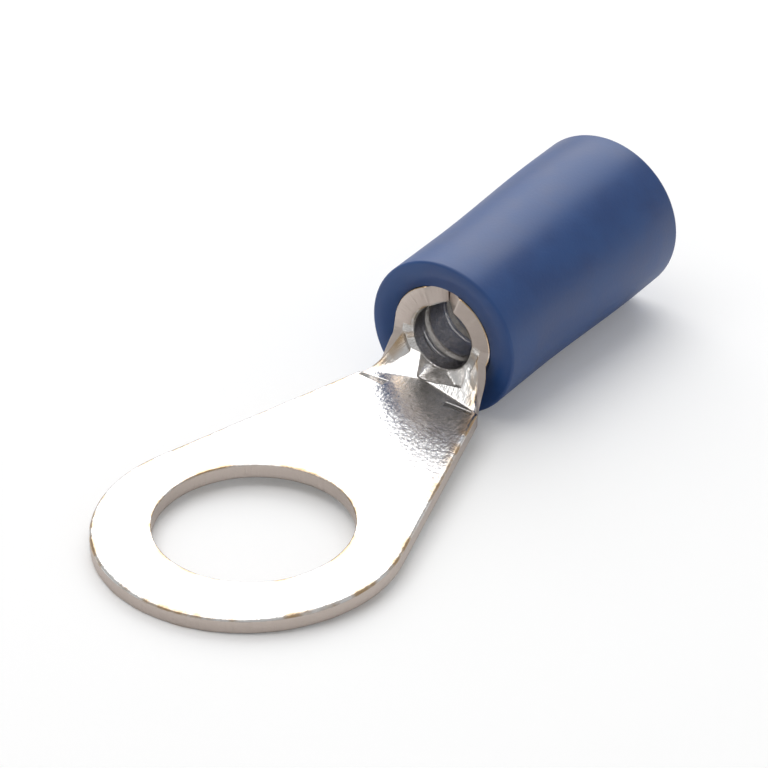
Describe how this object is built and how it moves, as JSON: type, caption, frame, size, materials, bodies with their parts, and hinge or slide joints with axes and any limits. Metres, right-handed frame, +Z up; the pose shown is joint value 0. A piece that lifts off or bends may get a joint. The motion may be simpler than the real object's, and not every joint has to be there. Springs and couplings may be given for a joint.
{
  "type": "ring terminal",
  "caption": "Insulated ring terminal: a flat tinned ring for a stud whose tapered neck rolls up into a wire barrel, with a soft blue sleeve that bells out for the wire.",
  "frame": {"origin": "centre of the stud hole, at the tongue's underside", "axes": "+X along the tongue to the end where the wire goes in, +Z up out of the tongue's top face along the stud, +Y across the ring"},
  "size_m": [0.026, 0.01, 0.0059],
  "materials": {
    "tinned_copper": "satin tin plate over copper, a little warm at its stamped edges",
    "blue_sleeve": "soft satin blue vinyl"
  },
  "bodies": {
    "root": {"ring_tongue": "tinned_copper", "insulating_sleeve": "blue_sleeve"}
  },
  "joints": []
}
